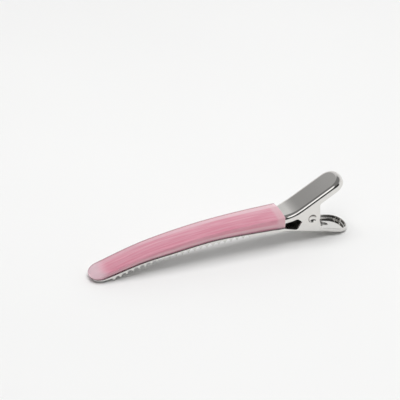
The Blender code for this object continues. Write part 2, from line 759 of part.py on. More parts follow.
def build():
    for old in list(bpy.data.objects):
        bpy.data.objects.remove(old, do_unlink=True)
    steel = material("bright_steel", (0.62, 0.61, 0.59), 1.0, 0.22)
    inner_steel = material("pressed_steel", (0.55, 0.54, 0.52), 1.0, 0.28)
    wire_steel = material("spring_wire", (0.42, 0.41, 0.40), 1.0, 0.3)
    vinyl = material("pink_vinyl", (0.70, 0.33, 0.42), 0.0, 0.25, 0.35)

    lower, upper, sleeve = lower_plate_mesh(), upper_plate_mesh(), sleeve_mesh()
    base = add_empty("clip_base", (0, 0, 0), None)
    seat_on_ground(base, lower)
    hinge = add_empty("jaw_hinge", (PIVOT_X, 0, PIVOT_Z), base)
    for mesh in (lower, upper, sleeve):
        shade_smooth(mesh)

    lower_plate = add_piece("lower_plate", lower, base, inner_steel)
    upper_plate = add_piece("upper_plate", upper, hinge, steel)
    add_piece("jaw_sleeve", sleeve, hinge, vinyl)
    add_piece("torsion_spring", spring_curve(), base, wire_steel)

    add_boolean(lower_plate, add_cutter("slot_prism", slot_prism(), base), "DIFFERENCE")
    pivot_holes = pivot_rod("pivot_holes", HOLE_RADIUS, 0, UPPER_HALF_WIDTH + CUT_OVERRUN)
    add_boolean(lower_plate, add_cutter("pivot_holes", pivot_holes, base), "DIFFERENCE")
    outside = UPPER_HALF_WIDTH - SHEET / 2
    boss_middle, boss_half = outside - BOSS_REACH / 2, BOSS_REACH / 2
    bosses = pivot_rod("pivot_bosses", BOSS_RADIUS, boss_middle, boss_half)
    add_boolean(upper_plate, add_cutter("pivot_bosses", bosses, hinge), "UNION")
    add_boolean(upper_plate, add_cutter("dimple_balls", dimple_balls(), hinge), "DIFFERENCE")


build()
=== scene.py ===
# %% [markdown]
# # A hair sectioning clip, dressed for its photograph
#
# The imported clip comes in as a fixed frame: two pressed steel plates, a torsion spring and a soft sleeve.
# Polished steel would show every facet of its solids, so each piece is worked out again here as a fine
# surface of the same shape and size, takes the place of its solid, and gets its finish from shader nodes.

import math

import bmesh
import bpy
import numpy as np
from mathutils import Matrix, Vector


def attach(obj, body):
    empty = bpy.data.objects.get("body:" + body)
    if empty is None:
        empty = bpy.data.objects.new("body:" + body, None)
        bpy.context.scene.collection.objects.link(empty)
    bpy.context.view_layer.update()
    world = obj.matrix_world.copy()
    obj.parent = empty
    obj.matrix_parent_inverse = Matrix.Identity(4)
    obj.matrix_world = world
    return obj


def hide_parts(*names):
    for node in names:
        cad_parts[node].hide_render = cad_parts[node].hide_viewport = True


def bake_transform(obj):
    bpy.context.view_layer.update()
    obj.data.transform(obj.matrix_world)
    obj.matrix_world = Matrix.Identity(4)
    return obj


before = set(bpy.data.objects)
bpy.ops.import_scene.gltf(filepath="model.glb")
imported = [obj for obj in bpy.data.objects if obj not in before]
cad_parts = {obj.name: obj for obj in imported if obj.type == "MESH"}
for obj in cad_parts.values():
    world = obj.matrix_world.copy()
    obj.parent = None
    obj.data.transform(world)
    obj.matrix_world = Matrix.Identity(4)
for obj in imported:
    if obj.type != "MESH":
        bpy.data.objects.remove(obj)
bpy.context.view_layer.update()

# %% [markdown]
# ## The side view and its height lines
#
# The clip is drawn lying along X from the handle end to the tip, with Z up. Its jaws are long gentle curves
# and its handles are straight, so a natural cubic spline through a few knots gives each curve, and one
# cubic with matching slopes joins a straight stretch to a curved one. A chain of arcs would leave joints
# that polished steel shows. The solids stand on the ground, turned by less than half a degree, and the seat
# repeats that.

# %% Sizes of the clip, in metres
MM = 0.001
LENGTH, HEIGHT = 110.0 * MM, 27.0 * MM
SHEET, RUNNING_GAP = 0.5 * MM, 0.2 * MM
PIVOT = np.array([17.3, 10.95]) * MM
SLEEVE_START, SLEEVE_TIP = 29.0 * MM, 109.8 * MM
SLEEVE_WALL, SLEEVE_FIT, SLEEVE_LIFT = 0.5 * MM, 0.25 * MM, 0.3 * MM
SLEEVE_HALF_WIDTH, SLEEVE_TAPER = 6.12 * MM, 1.11 * MM
UPPER_HALF_WIDTH, PAN_HALF_WIDTH = 6.2 * MM, 5.95 * MM
UPPER_JAW_TIP, LOWER_JAW_TIP = 105.2 * MM, 109.0 * MM
UPPER_JAW_ROUND, LOWER_JAW_ROUND = 3.5 * MM, 4.4 * MM
JAW_INSET, JAW_INSET_LOSS = 0.9 * MM, 0.55 * MM
NECK_START, NECK_END = 6.5 * MM, 11.0 * MM
HANDLE_END, SHOULDER_START, SHOULDER_END = 20.0 * MM, 24.0 * MM, 30.0 * MM
PAN_END, KEEL_JAW_START, LOWER_JAW_START = 25.0 * MM, 33.0 * MM, 34.0 * MM
SEAT_TURN = 0.007475478
SEAT_PLACE = np.array([-54.901745, 0.0, -0.309210]) * MM
END_EXPONENT = 2.24
FINE_STEP = 0.01 * MM
WELD = 0.002 * MM


# %% Curves through knots, and joined lines
def smooth_line(*knots):
    """A natural cubic spline: cubics between knots, with slope and bend continuous and no bend at the ends.

    Knots are (share of the length, share of the height).
    """
    x, z = (np.array(knots) * (LENGTH, HEIGHT)).T
    step = np.diff(x)
    system = np.eye(len(x))
    inner = np.arange(1, len(x) - 1)
    system[inner, inner - 1], system[inner, inner] = step[:-1], 2 * (step[:-1] + step[1:])
    system[inner, inner + 1] = step[1:]
    right = np.zeros(len(x))
    right[inner] = 6 * np.diff(np.diff(z) / step)
    curvature = np.linalg.solve(system, right)

    def line(at):
        k = np.clip(np.searchsorted(x, at) - 1, 0, len(step) - 1)
        a = (x[k + 1] - at) / step[k]
        b = 1 - a
        bow = ((a**3 - a) * curvature[k] + (b**3 - b) * curvature[k + 1]) * step[k] ** 2 / 6
        return a * z[k] + b * z[k + 1] + bow

    return line


def slope_of(line, at):
    """Rise per length, from two points close together."""
    return (line(at + FINE_STEP) - line(at - FINE_STEP)) / (2 * FINE_STEP)


def joined_line(before, after, start, end):
    """The first line up to start, the second from end on, and a cubic between them that keeps both slopes."""
    span, first, last = end - start, before(start), after(end)
    leaving, arriving = slope_of(before, start) * span, slope_of(after, end) * span

    def line(at):
        u = np.clip((at - start) / span, 0, 1)
        rise = (u**2 * (3 - 2 * u)) * (last - first)
        bend = (u * (1 - u) ** 2) * leaving - (u**2 * (1 - u)) * arriving
        return np.where(at < start, before(at), np.where(at > end, after(at), first + rise + bend))

    return line


def level(value):
    """A line that keeps one value."""
    return lambda at: value + 0 * np.asarray(at, float)


def ease(at, start, end):
    """Goes smoothly from 0 at start to 1 at end: three u squared less two u cubed."""
    u = np.clip((at - start) / (end - start), 0, 1)
    return u * u * (3 - 2 * u)


# %% The clip's own lines
HANDLE_TILT, HANDLE_STANDOFF = math.radians(29.3), 6.6 * MM
PAN_TILT = math.radians(13.4)

sleeve_top = smooth_line(
    (0.264, 0.526), (0.409, 0.523), (0.545, 0.499), (0.682, 0.440),
    (0.818, 0.342), (0.936, 0.209), (1.0, 0.135),
)
sleeve_foot = smooth_line(
    (0.264, 0.330), (0.409, 0.357), (0.545, 0.364), (0.682, 0.307),
    (0.818, 0.237), (0.936, 0.126), (1.0, 0.078),
)
tooth_line = smooth_line(
    (0.218, 0.211), (0.291, 0.261), (0.455, 0.279), (0.564, 0.259), (0.682, 0.224), (0.818, 0.148),
    (0.873, 0.093), (0.927, 0.028), (1.0, 0.009),
)


def handle_line(at):
    """Upper face of the thumb handle: straight, at its standoff from the pivot."""
    return PIVOT[1] + HANDLE_STANDOFF / np.cos(HANDLE_TILT) - (at - PIVOT[0]) * np.tan(HANDLE_TILT)


def pan_line(at):
    """Upper face of the finger pan's floor: straight, rising from the ground at the handle end."""
    return at * np.tan(PAN_TILT) + SHEET / np.cos(PAN_TILT)


def sleeve_share(at):
    """0 at the sleeve's hinge end and 1 at its tip."""
    return (at - SLEEVE_START) / (SLEEVE_TIP - SLEEVE_START)


def sleeve_half_width(at):
    """The sleeve narrows evenly from its hinge end to its tip."""
    return SLEEVE_HALF_WIDTH - SLEEVE_TAPER * sleeve_share(at)


def lower_jaw_half_width(at):
    """The toothed jaw keeps inside the sleeve's sides, by less towards the tip."""
    return sleeve_half_width(at) - (JAW_INSET - JAW_INSET_LOSS * sleeve_share(at))


# %% The plates' side lines and half widths
upper_line = joined_line(
    handle_line, lambda at: sleeve_top(at) - SLEEVE_WALL - SLEEVE_FIT, HANDLE_END, SHOULDER_END
)
lower_line = joined_line(pan_line, lambda at: sleeve_foot(at) - SLEEVE_LIFT, PAN_END, LOWER_JAW_START)
keel_line = joined_line(
    lambda at: pan_line(at) - SHEET / np.cos(PAN_TILT), tooth_line, PAN_END, KEEL_JAW_START
)
upper_half_width = joined_line(
    level(UPPER_HALF_WIDTH), lambda at: sleeve_half_width(at) - SLEEVE_WALL - SLEEVE_FIT,
    SHOULDER_START, SHOULDER_END,
)
pan_half_width = joined_line(
    level(PAN_HALF_WIDTH), level(UPPER_HALF_WIDTH - SHEET - RUNNING_GAP), NECK_START, NECK_END
)
lower_half_width = joined_line(pan_half_width, lower_jaw_half_width, SHOULDER_START, SHOULDER_END)

# %% [markdown]
# ## A pressed sheet as one grid
#
# A press folds the rim of each plate: it stands up round the finger pan and hangs down round the handle and
# the jaws. A flat sheet that is drawn and thickened would get folds with uneven walls, so the whole skin is
# a grid instead. One direction of the grid goes round half of the outline, the other goes over the rim,
# from the middle of the upper face to the middle of the lower face. Every fold is a quarter circle in that
# second direction, and its radius may change along the outline.

# %% The sheet's outline
ROUND_STATIONS = 22


def rounded_end(tip, length, half_width, forward):
    """A quarter of a superellipse from the tip to the side, with outward directions.

    Along and across are cosine and sine of the turn, each raised to two over the exponent.
    """
    turn = np.linspace(0, np.pi / 2, ROUND_STATIONS + 1)
    along, across = np.cos(turn).clip(0), np.sin(turn)
    x = tip - forward * length * (1 - along ** (2 / END_EXPONENT))
    y = half_width(x) * across ** (2 / END_EXPONENT)
    out = np.array([forward * along ** (2 - 2 / END_EXPONENT) / length,
                    across ** (2 - 2 / END_EXPONENT) / half_width(x)])
    return np.array([x, y, *(out / np.hypot(*out))])


def plan_stations(start, end, start_round, end_round, half_width, between):
    """Half of the outline, from the middle of its start, along one side, to the middle of its end."""
    lean = -slope_of(half_width, between)
    size = np.hypot(lean, 1)
    side = np.array([between, half_width(between), lean / size, 1 / size])
    first = rounded_end(start, start_round, half_width, -1)
    last = rounded_end(end, end_round, half_width, 1)[:, ::-1]
    return np.concatenate([first, side, last], axis=1)


def spread(*stops):
    """Stations between stops. Each stop after the first is led by its number of steps."""
    places = [stops[0]]
    for count, stop in zip(stops[1::2], stops[2::2]):
        places += list(np.linspace(places[-1], stop, count + 1)[1:])
    return np.array(places[1:-1])


# %% The section over the rim
ARC = np.linspace(0, np.pi / 2, 8)
EDGE_ARC = np.linspace(0, np.pi / 2, 4)
EDGE_RADIUS = 0.12 * MM
WALL_SHARES = np.array([0.05, 0.2, 0.4, 0.6, 0.8, 0.95])
FACE_SHARES = np.array([0.03, 0.12, 0.3, 0.5, 0.75, 1.0])
MOST_FILLET, MOST_ROUNDING = 0.7, 0.5


def rim_section(bend, up, down, standing):
    """Inward distance and drop of every ring over the rim, and the rings that belong to its stretches.

    A quarter circle of radius r is r times one less sine, r times one less cosine. A standing rim has its
    large fold at the foot and a small rounding at its free edge, and a hanging rim has them the other way
    round. A fillet and a rounding take no more than their share of the wall that they stand on.
    """
    hanging = 1 - standing
    full = np.minimum(bend, up + down - EDGE_RADIUS)
    brow, foot = full * hanging, full * standing
    upper_wall, lower_wall = SHEET * standing + brow, SHEET * hanging + foot
    inner_bend = (bend - SHEET).clip(0)
    upper_fillet = np.minimum(inner_bend * standing, MOST_FILLET * up)
    lower_fillet = np.minimum(inner_bend * hanging, MOST_FILLET * (down - SHEET))
    soft_up = np.minimum(EDGE_RADIUS * standing, MOST_ROUNDING * (up - upper_fillet))
    soft_down = np.minimum(EDGE_RADIUS * hanging, MOST_ROUNDING * (down - SHEET - lower_fillet))
    brow, foot = np.maximum(brow, EDGE_RADIUS), np.maximum(foot, EDGE_RADIUS)

    def arc(turns, make):
        return [make(1 - np.sin(a), 1 - np.cos(a)) for a in turns]

    inner_up = arc(ARC, lambda n, f: (upper_wall + upper_fillet * n, -upper_fillet * f))
    edge_up = arc(EDGE_ARC, lambda n, f: (upper_wall - soft_up * f, soft_up * n - up))
    brows = arc(ARC, lambda n, f: (brow * n, brow * f - up))
    feet = arc(ARC, lambda n, f: (foot * f, down - foot * n))
    edge_down = arc(EDGE_ARC, lambda n, f: (lower_wall - soft_down * n, down - soft_down * f))
    inner_down = arc(ARC, lambda n, f: (lower_wall + lower_fillet * f, SHEET + lower_fillet * n))

    def between(a, b):
        return [tuple(p + (q - p) * s for p, q in zip(a, b)) for s in WALL_SHARES]

    runs = [
        ("inner_up", inner_up), ("wall_up", between(inner_up[-1], edge_up[0])), ("edge_up", edge_up),
        ("brow", brows), ("wall_out", between(brows[-1], feet[0])), ("foot", feet),
        ("edge_down", edge_down), ("wall_down", between(edge_down[-1], inner_down[0])),
        ("inner_down", inner_down),
    ]
    place, rings = {}, []
    for name, run in runs:
        place[name] = slice(len(rings), len(rings) + len(run))
        rings += run
    return np.array(rings), place


# %% The section along the outline
def sheet_points(line, plan, section):
    """Ring by station points: in from the outline, then square to the sheet by the drop."""
    x, y, out_x, out_y = plan
    inward, drop = section[:, 0], section[:, 1]
    tilt = np.arctan(slope_of(line, x))
    x = x - inward * out_x * np.cos(tilt)
    y = y - inward * out_y
    tilt = np.arctan(slope_of(line, x))
    return np.stack([x + drop * np.sin(tilt), y, line(x) - drop * np.cos(tilt)], axis=-1)


# %% Ears round the pivot
EAR_STATIONS, LOBE_POINTS, CORNER_POINTS = 72, 48, 10
EAR_FILLET = 0.9 * MM


def tangent_point(radius, outside, turn):
    """Where a line from outside touches a circle round the pivot: at the arc cosine of radius over reach."""
    away = outside - PIVOT
    angle = np.arctan2(away[1], away[0]) + turn * np.arccos(radius / np.hypot(*away))
    return PIVOT + radius * np.array([np.cos(angle), np.sin(angle)])


def ear_outline(start, rear, radius, front, end, turn):
    """Evenly spaced points along rear edge, lobe and front edge. A corner is a parabola on two tangents."""
    first, last = tangent_point(radius, rear, -turn), tangent_point(radius, front, turn)
    a, b = (np.arctan2(*(point - PIVOT)[::-1]) for point in (first, last))
    angles = a - turn * np.linspace(0, (turn * (a - b)) % (2 * np.pi), LOBE_POINTS)
    lobe = PIVOT + radius * np.stack([np.cos(angles), np.sin(angles)], axis=-1)

    def filleted(before, corner, after):
        p = corner + (before - corner) * min(EAR_FILLET / np.hypot(*(before - corner)), 1)
        q = corner + (after - corner) * min(EAR_FILLET / np.hypot(*(after - corner)), 1)
        u = np.linspace(0, 1, CORNER_POINTS)[:, None]
        return (1 - u) ** 2 * p + 2 * u * (1 - u) * corner + u**2 * q

    run = np.concatenate([[start], filleted(start, rear, first), lobe, filleted(last, front, end), [end]])
    gone = np.concatenate([[0], np.cumsum(np.hypot(*np.diff(run, axis=0).T))])
    at = np.linspace(0, gone[-1], EAR_STATIONS + 1)
    return np.stack([np.interp(at, gone, run[:, 0]), np.interp(at, gone, run[:, 1])], axis=-1)


def shape_ear(points, place, steps, slopes, radius, turn):
    """Moves the rim's free edge onto the ear's outline and spreads the walls beside it evenly.

    Slopes are the free edge's before and after the ear. Turn is 1 for a standing ear, -1 for a hanging one.
    """
    ear = slice(ROUND_STATIONS + steps, ROUND_STATIONS + steps + EAR_STATIONS + 1)
    edges, walls = ("edge_up", "brow"), ("wall_up", "wall_out")
    if turn < 0:
        edges, walls = ("foot", "edge_down"), ("wall_out", "wall_down")
    free = points[place[edges[0]].stop - 1, ear][:, [0, 2]]
    rear = free[0] + EAR_FILLET * np.array([1, slopes[0]])
    front = free[-1] - EAR_FILLET * np.array([1, slopes[1]])
    shift = ear_outline(free[0], rear, radius, front, free[-1], turn) - free
    for name in edges:
        points[place[name], ear, 0] += shift[:, 0]
        points[place[name], ear, 2] += shift[:, 1]
    for wall in walls:
        before, after = points[place[wall].start - 1, ear], points[place[wall].stop, ear]
        points[place[wall], ear] = before + (after - before) * WALL_SHARES[:, None, None]


# %% From grids to a mesh
PLATE_FOLD, CUT_FOLD, SOFT_FOLD = 50, 32, 80


def seated(points):
    """Side-view points turned about Y by the seat's angle and shifted, so that the clip is on the ground."""
    x, y, z = np.moveaxis(np.asarray(points, float), -1, 0)
    c, s = np.cos(SEAT_TURN), np.sin(SEAT_TURN)
    return np.stack([x * c + z * s, y, z * c - x * s], axis=-1) + SEAT_PLACE


def grid_quads(rows, columns, around=False):
    """Corner numbers of each cell of a grid. Around joins the last column to the first."""
    r, c = np.meshgrid(np.arange(rows - 1), np.arange(columns if around else columns - 1), indexing="ij")
    d = (c + 1) % columns
    corners = [r * columns + c, r * columns + d, (r + 1) * columns + d, (r + 1) * columns + c]
    return np.stack(corners, -1).reshape(-1, 4)


def made_mesh(name, points, quads, sharp=PLATE_FOLD, uv=None):
    """A closed mesh of seated points: coinciding ones joined, faces outward, smooth but for sharp folds."""
    mesh = bpy.data.meshes.new(name)
    mesh.vertices.add(len(points))
    mesh.vertices.foreach_set("co", np.ascontiguousarray(seated(points), np.float32).ravel())
    mesh.loops.add(quads.size)
    mesh.loops.foreach_set("vertex_index", quads.ravel().astype(np.int32))
    mesh.polygons.add(len(quads))
    mesh.polygons.foreach_set("loop_start", np.arange(0, quads.size, 4, dtype=np.int32))
    mesh.update(calc_edges=True)
    if uv is not None:
        layer = mesh.uv_layers.new(name="along_and_around")
        layer.data.foreach_set("uv", np.ascontiguousarray(uv, np.float32)[quads.ravel()].ravel())
    work = bmesh.new()
    work.from_mesh(mesh)
    bmesh.ops.remove_doubles(work, verts=work.verts, dist=WELD)
    bmesh.ops.dissolve_degenerate(work, edges=work.edges, dist=WELD / 2)
    bmesh.ops.recalc_face_normals(work, faces=work.faces)
    if work.calc_volume(signed=True) < 0:
        bmesh.ops.reverse_faces(work, faces=work.faces)
    work.to_mesh(mesh)
    open_edges = sum(1 for edge in work.edges if len(edge.link_faces) != 2)
    work.free()
    mesh.shade_smooth()
    mesh.set_sharp_from_angle(angle=math.radians(sharp))
    print(f"{name}: {len(mesh.polygons)} faces, {open_edges} open edges")
    return mesh


def round_mesh(name, grid, sharp=PLATE_FOLD, uv=None):
    """The mesh of a grid whose last column joins its first."""
    return made_mesh(name, grid.reshape(-1, 3), grid_quads(*grid.shape[:2], around=True), sharp, uv)


def plate_piece(name, points):
    """Adds both faces up to the middle line, mirrors the half and returns the finished object.

    A face's points keep the x and z of the rim's last ring and bring y evenly down to zero.
    """
    def face(ring):
        keep = np.repeat(ring[None], len(FACE_SHARES), axis=0)
        keep[..., 1] *= 1 - FACE_SHARES[:, None]
        return keep

    half = np.concatenate([face(points[0])[::-1], points, face(points[-1])])
    rows, columns = half.shape[:2]
    both = np.concatenate([half.reshape(-1, 3), (half * (1, -1, 1)).reshape(-1, 3)])
    quads = grid_quads(rows, columns)
    quads = np.concatenate([quads, quads[:, ::-1] + rows * columns])
    return add_piece(name, made_mesh(name, both, quads))


def add_piece(name, mesh):
    """An object at the origin that shows the mesh."""
    piece = bpy.data.objects.new(name, mesh)
    bpy.context.scene.collection.objects.link(piece)
    return piece


# %% [markdown]
# ## Cutters
#
# A press also punches: the slot in the pan, the pivot holes in the inner ears and the dimples in the outer
# ears. A grid would need special cases round a hole, and a Boolean with a finely drawn cutter gives a clean
# lip, so each hole is a Boolean that is applied at once.

# %% Turned cutters and Booleans
CIRCLE_POINTS = 64


def turned(name, stations, radii):
    """A body turned about the pivot line: at each station across the clip, a circle of its radius."""
    angle = np.linspace(0, 2 * np.pi, CIRCLE_POINTS, endpoint=False)
    ring = np.stack([np.cos(angle), 0 * angle, np.sin(angle)], -1) * np.reshape(radii, (-1, 1, 1))
    ring[..., 1] = stations[:, None]
    ring += np.array([PIVOT[0], 0, PIVOT[1]])
    return round_mesh(name, ring)


def cut(piece, mesh, operation):
    """Runs one exact Boolean on a piece and keeps its result as the piece's mesh."""
    tool = add_piece(mesh.name, mesh)
    step = piece.modifiers.new("cut", "BOOLEAN")
    step.solver, step.operation, step.object = "EXACT", operation, tool
    graph = bpy.context.evaluated_depsgraph_get()
    result = bpy.data.meshes.new_from_object(piece.evaluated_get(graph))
    piece.modifiers.clear()
    piece.data = result
    bpy.data.objects.remove(tool)
    result.name = piece.name
    result.shade_smooth()
    result.set_sharp_from_angle(angle=math.radians(CUT_FOLD))
    print(f"{piece.name}: {operation.lower()} leaves {len(result.polygons)} faces")


# %% [markdown]
# ## The thumb plate
#
# The upper sheet is the broad thumb handle, two ears that hang round the pivot, and the jaw that the sleeve
# hides but lets show through. Its flange hangs all the way round. The ears carry the pressed dimples that
# the other plate turns on, so there is no rivet.

# %% Thumb plate
HANDLE_START, HANDLE_ROUND = 3.8 * MM, 5.3 * MM
HANDLE_FLANGE, WINDOW_FLANGE, THUMB_BEND = 3.1 * MM, 2.7 * MM, 1.9 * MM
FLANGE_TURN_START, FLANGE_TURN_END = 28.5 * MM, 33.5 * MM
UPPER_EAR_REAR, UPPER_EAR_FRONT, UPPER_LOBE = 14.1 * MM, 23.2 * MM, 3.5 * MM
HANDLE_STEPS, SHOULDER_STEPS, JAW_STEPS = 12, 18, 64
ear_start = UPPER_EAR_REAR - EAR_FILLET + HANDLE_FLANGE * math.sin(HANDLE_TILT)
ear_end = UPPER_EAR_FRONT + EAR_FILLET + WINDOW_FLANGE * math.sin(HANDLE_TILT)

between = spread(
    HANDLE_START + HANDLE_ROUND, HANDLE_STEPS, ear_start, EAR_STATIONS, ear_end,
    SHOULDER_STEPS, SHOULDER_END, JAW_STEPS, UPPER_JAW_TIP - UPPER_JAW_ROUND,
)
plan = plan_stations(HANDLE_START, UPPER_JAW_TIP, HANDLE_ROUND, UPPER_JAW_ROUND, upper_half_width, between)
x = plan[0]
bend = np.full_like(x, THUMB_BEND)
open_depth = HANDLE_FLANGE + (WINDOW_FLANGE - HANDLE_FLANGE) * ease(x, ear_start, ear_end)
jaw_depth = upper_line(x) - sleeve_foot(x) - SLEEVE_WALL - SLEEVE_FIT
depth = (open_depth + (jaw_depth - open_depth) * ease(x, FLANGE_TURN_START, FLANGE_TURN_END)).clip(SHEET)
section, place = rim_section(bend, 0 * x, depth, 0 * x)
points = sheet_points(upper_line, plan, section)
slopes = -math.tan(HANDLE_TILT), slope_of(upper_line, ear_end)
shape_ear(points, place, HANDLE_STEPS, slopes, UPPER_LOBE, -1)
thumb_plate = plate_piece("thumb_plate", points)

# %% Pressed dimples, hollow outside and a stub inside
DIMPLE_RADIUS, DIMPLE_DEPTH, BALL_STATIONS = 1.8 * MM, 0.95 * MM, 41
STUB_RADIUS, STUB_LENGTH, STUB_ROUND = 1.45 * MM, 2.2 * MM, 0.35 * MM
root = UPPER_HALF_WIDTH - SHEET / 2
end = root - STUB_LENGTH
stub_y = np.array([root, root, *(end + STUB_ROUND * (1 - np.sin(ARC))), end])
stub_radii = [0, STUB_RADIUS, *(STUB_RADIUS - STUB_ROUND * (1 - np.cos(ARC))), 0]
for side in (1, -1):
    cut(thumb_plate, turned("stub", stub_y * side, stub_radii), "UNION")

ball = (DIMPLE_RADIUS**2 + DIMPLE_DEPTH**2) / (2 * DIMPLE_DEPTH)
polar = np.linspace(0, np.pi, BALL_STATIONS)
ball_y = UPPER_HALF_WIDTH + ball - DIMPLE_DEPTH - ball * np.cos(polar)
for side in (1, -1):
    cut(thumb_plate, turned("ball", side * ball_y, ball * np.sin(polar)), "DIFFERENCE")

# %% [markdown]
# ## The finger plate
#
# The lower sheet is a shallow pan for the fingers with a standing rim and a slot in its floor, two inner
# ears that stand up round the pivot, and the toothed jaw. Between the pan and the jaw the rim turns from
# standing to hanging, which the section handles by blending one into the other. The teeth are stamped:
# sharp points with round valleys, which is the sine of the way from one point to the next.

# %% Finger plate
PAN_START, PAN_ROUND, PAN_WALL, SIDE_WALL = 0.3 * MM, 5.6 * MM, 1.95 * MM, 1.2 * MM
TEETH_START, TEETH_END, TOOTH_HEIGHT = 44.0 * MM, 101.2 * MM, 1.5 * MM
TEETH, TOOTH_STATIONS, VALLEY_POWER = 22, 12, 0.85
PAN_BEND, JAW_BEND = 0.95 * MM, 0.4 * MM
RIM_TURN_START, RIM_TURN_END = 28.0 * MM, 33.0 * MM
LOWER_EAR_REAR, LOWER_EAR_FRONT, LOWER_LOBE = 12.9 * MM, 23.4 * MM, 3.0 * MM
PAN_STEPS, NECK_STEPS, END_STEPS = 10, 24, 5
pitch = (TEETH_END - TEETH_START) / TEETH
ear_start = LOWER_EAR_REAR - EAR_FILLET + (PAN_WALL - SHEET) * math.sin(PAN_TILT)
ear_end = LOWER_EAR_FRONT + EAR_FILLET + (SIDE_WALL - SHEET) * math.sin(PAN_TILT)


def tooth_cut(x):
    """How far the rim is cut back: none before the first point, all of it after the last, a sine between."""
    valley = np.abs(np.sin(np.pi * (x - TEETH_START) / pitch)) ** VALLEY_POWER
    past = ease(x, TEETH_END, TEETH_END + pitch / 3)
    return TOOTH_HEIGHT * np.where(x < TEETH_START, 0, np.where(x > TEETH_END, past, valley))


# %% The finger plate's grid
between = spread(
    PAN_START + PAN_ROUND, PAN_STEPS, ear_start, EAR_STATIONS, ear_end,
    NECK_STEPS, TEETH_START, TEETH * TOOTH_STATIONS, TEETH_END,
    END_STEPS, TEETH_END + pitch / 3, END_STEPS, LOWER_JAW_TIP - LOWER_JAW_ROUND,
)
plan = plan_stations(PAN_START, LOWER_JAW_TIP, PAN_ROUND, LOWER_JAW_ROUND, lower_half_width, between)
x = plan[0]
hanging = ease(x, RIM_TURN_START, RIM_TURN_END)
bend = PAN_BEND + (JAW_BEND - PAN_BEND) * ease(x, ear_end, RIM_TURN_END)
wall = PAN_WALL + (SIDE_WALL - PAN_WALL) * ease(x, ear_start, ear_end)
depth = (lower_line(x) - keel_line(x)) * np.cos(np.arctan(slope_of(lower_line, x)))
up, down = (wall - SHEET) * (1 - hanging), (depth - tooth_cut(x)).clip(SHEET)
section, place = rim_section(bend, up, down, 1 - hanging)
points = sheet_points(lower_line, plan, section)
shape_ear(points, place, PAN_STEPS, [math.tan(PAN_TILT)] * 2, LOWER_LOBE, 1)
finger_plate = plate_piece("finger_plate", points)

# %% Pivot holes and the slot in the pan
HOLE_RADIUS, HOLE_REACH = 1.75 * MM, 8.0 * MM
SLOT_START, SLOT_LENGTH, SLOT_WIDTH, SLOT_SIDE = 7.4 * MM, 8.6 * MM, 2.2 * MM, -0.7 * MM
CUTTER_LOW, CUTTER_HIGH = -2.0 * MM, 9.0 * MM
hole_y = np.array([-1, -1, 1, 1]) * HOLE_REACH
cut(finger_plate, turned("pivot_holes", hole_y, [0, HOLE_RADIUS, HOLE_RADIUS, 0]), "DIFFERENCE")


def slot_mesh():
    """An obround carried up through the pan's floor: two half circles joined by straight sides."""
    radius, turn = SLOT_WIDTH / 2, np.linspace(-np.pi / 2, np.pi / 2, 25)
    ends = [(SLOT_START + SLOT_LENGTH - radius + radius * np.cos(turn), SLOT_SIDE + radius * np.sin(turn)),
            (SLOT_START + radius - radius * np.cos(turn), SLOT_SIDE - radius * np.sin(turn))]
    x, y = np.concatenate(ends, axis=1)
    middle = SLOT_START + SLOT_LENGTH / 2
    share = np.array([0, 1, 1, 0])[:, None]
    height = np.array([CUTTER_LOW, CUTTER_LOW, CUTTER_HIGH, CUTTER_HIGH])[:, None] + 0 * x
    grid = np.stack([middle + (x - middle) * share, SLOT_SIDE + (y - SLOT_SIDE) * share, height], -1)
    return round_mesh("slot", grid)


cut(finger_plate, slot_mesh(), "DIFFERENCE")

# %% [markdown]
# ## The torsion spring
#
# One wire makes the spring: a leg in the pan, a coil of about five turns round the pivot, and a leg under
# the handle. A tube whose rings are worked out one by one keeps an even ring of points in every bend,
# which a curve object doesn't, so its highlight runs along the wire without a kink.

# %% Torsion spring
WIRE, COIL_RADIUS, COIL_HALF_SPAN, WHOLE_TURNS = 0.95 * MM, 2.48 * MM, 3.75 * MM, 5
LOWER_LEG_END, UPPER_LEG_END, UPPER_LEG_SIDE, LEG_GAP = 9.8 * MM, 9.0 * MM, 3.0 * MM, 0.3 * MM
COIL_POINTS, LEG_POINTS, LEG_STRAIGHT = 300, 30, 0.3
WIRE_SIDES, END_RINGS = 16, 4


def tube(path, radius):
    """Rings square to a path, with a dome at each end. A ring's first direction lies in the side view."""
    ahead = np.gradient(path, axis=0)
    ahead /= np.linalg.norm(ahead, axis=1)[:, None]
    across = np.cross(ahead, (0.0, 1.0, 0.0))
    across /= np.linalg.norm(across, axis=1)[:, None]
    third = np.cross(ahead, across)
    angle = np.linspace(0, 2 * np.pi, WIRE_SIDES, endpoint=False)[None, :, None]
    dome_turn = np.linspace(0, np.pi / 2, END_RINGS + 1)
    dome, rise = np.sin(dome_turn)[:-1], 1 - np.cos(dome_turn)[:-1]
    size = np.concatenate([dome, np.ones(len(path)), dome[::-1]])
    place = np.concatenate([path[:1] + ahead[:1] * radius * (rise[:, None] - 1), path,
                            path[-1:] - ahead[-1:] * radius * (rise[::-1, None] - 1)])
    repeat = np.ones(len(path), int)
    repeat[[0, -1]] += END_RINGS
    across, third = np.repeat(across, repeat, axis=0), np.repeat(third, repeat, axis=0)
    wheel = np.cos(angle) * across[:, None] + np.sin(angle) * third[:, None]
    return place[:, None] + wheel * (radius * size)[:, None, None]


